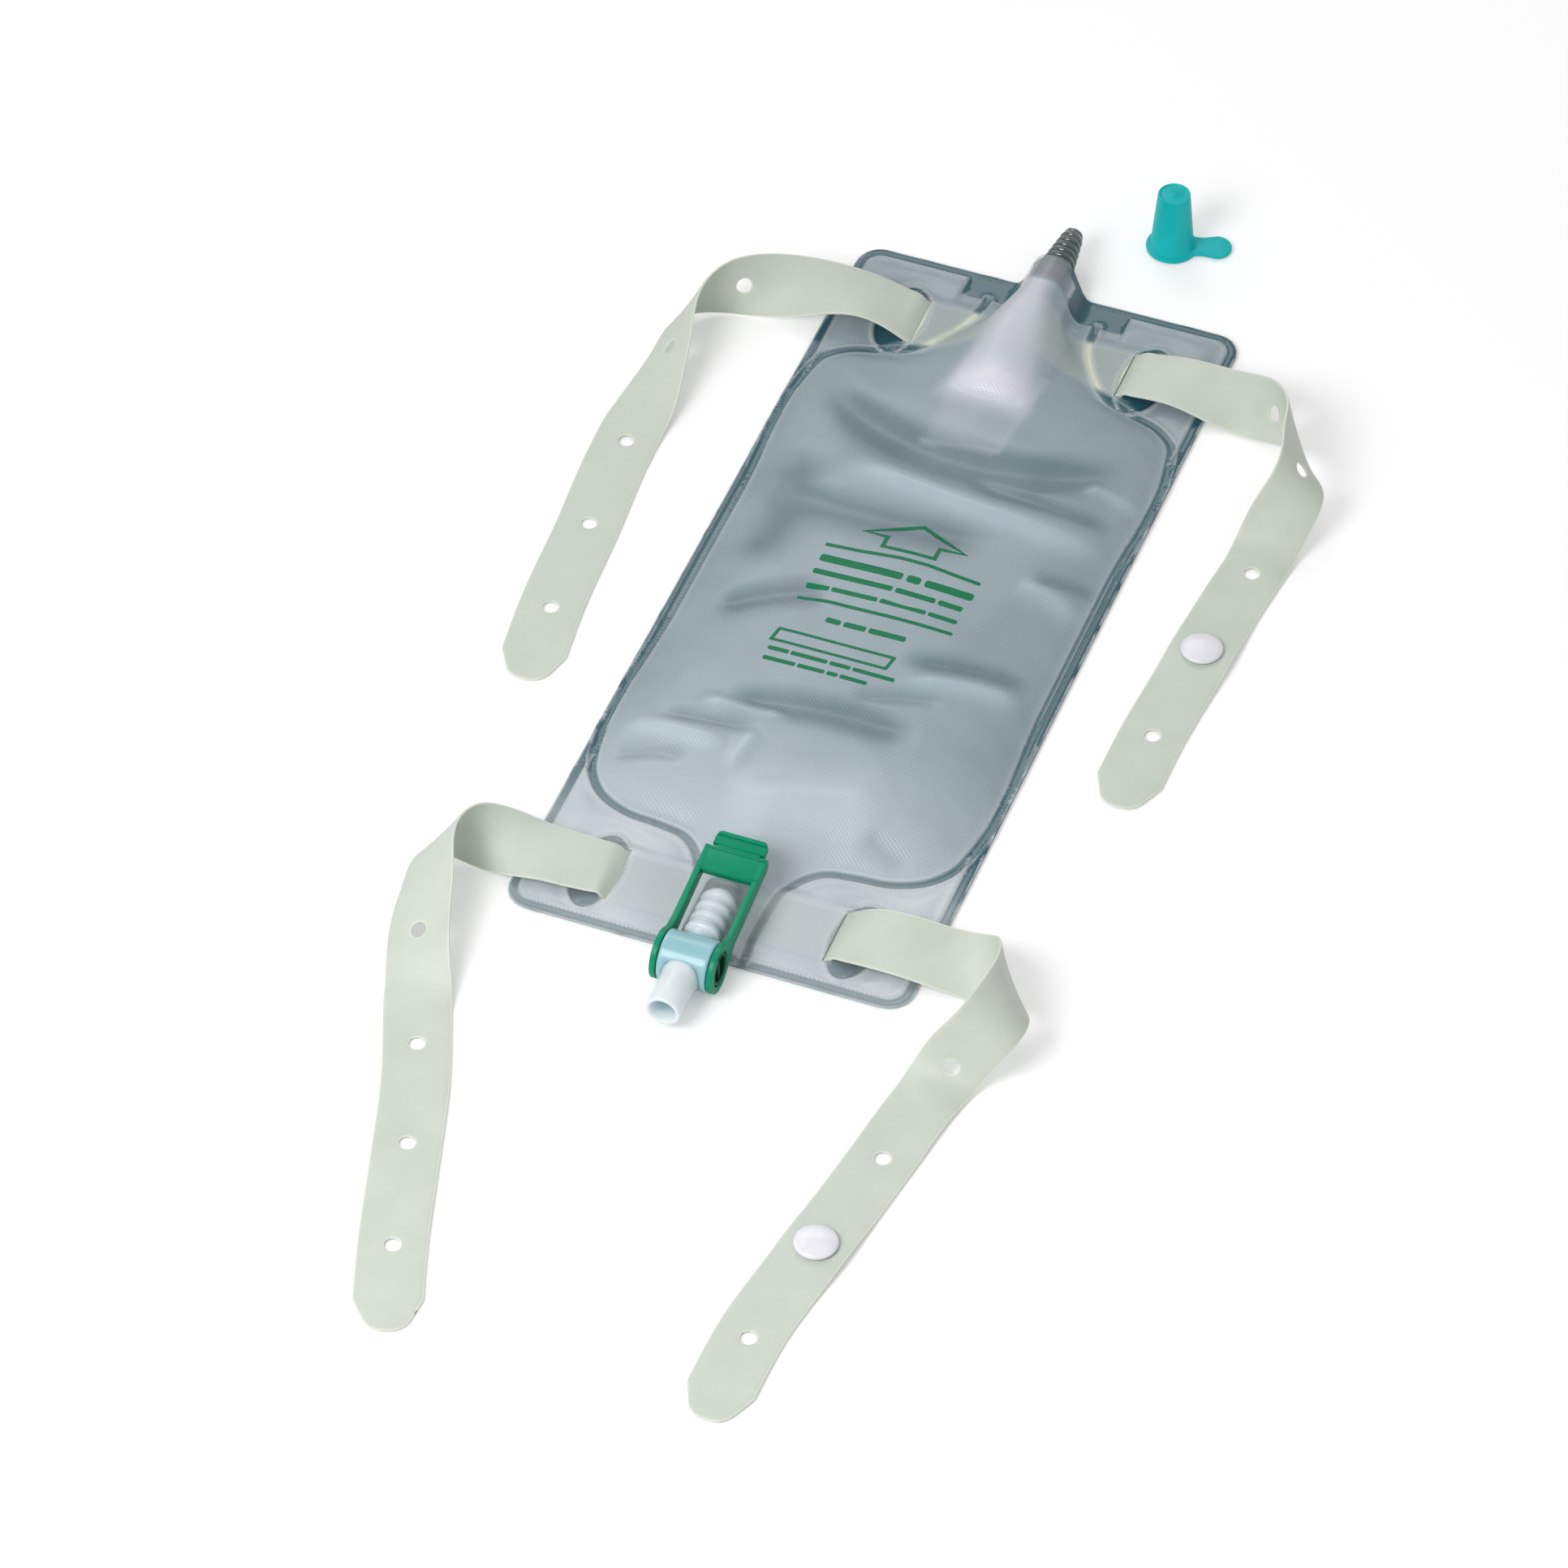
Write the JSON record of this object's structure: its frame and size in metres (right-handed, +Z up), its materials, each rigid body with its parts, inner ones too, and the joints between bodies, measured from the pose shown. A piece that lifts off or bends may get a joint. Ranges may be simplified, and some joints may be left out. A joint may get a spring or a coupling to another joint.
{
  "type": "urine drainage bag",
  "caption": "Leg-worn urine drainage bag: flat welded film pouch with ribbed inlet, flip outlet valve, buttoned straps through weld-ringed slits, and a loose inlet cap.",
  "frame": {"origin": "centre of the pouch's flat back face, on the surface the bag lies on", "axes": "+Y towards the inlet, +X to the right of someone facing the printed front, +Z up out of the front film"},
  "size_m": [0.248, 0.572, 0.0323],
  "materials": {
    "frosted_film": "satin",
    "frosted_back_film": "satin",
    "inner_valve_film": "satin",
    "soft_clear_tube": "clear",
    "clear_rigid_plastic": "clear",
    "milky_plastic": "translucent",
    "dark_green_plastic": "semi-gloss",
    "green_plastic": "semi-gloss",
    "strap_latex": "matt",
    "white_plastic": "semi-gloss",
    "teal_plastic": "satin"
  },
  "bodies": {
    "bag": {"front_film": "frosted_film", "back_film": "frosted_back_film", "reflux_valve": "inner_valve_film", "inlet_sleeve": "soft_clear_tube", "inlet_connector": "clear_rigid_plastic", "valve_body": "milky_plastic", "upper_strap": "strap_latex", "lower_strap": "strap_latex", "upper_button": "white_plastic", "lower_button": "white_plastic", "inlet_cap": "teal_plastic"},
    "lever": {"valve_lever": "green_plastic", "valve_rotor": "dark_green_plastic"}
  },
  "joints": [
    {"name": "lever_flip", "type": "hinge", "parent": "bag", "child": "lever", "pos_m": [0, -0.1805, 0.009], "axis": [1, 0, 0], "range_deg": [0, 90]}
  ]
}
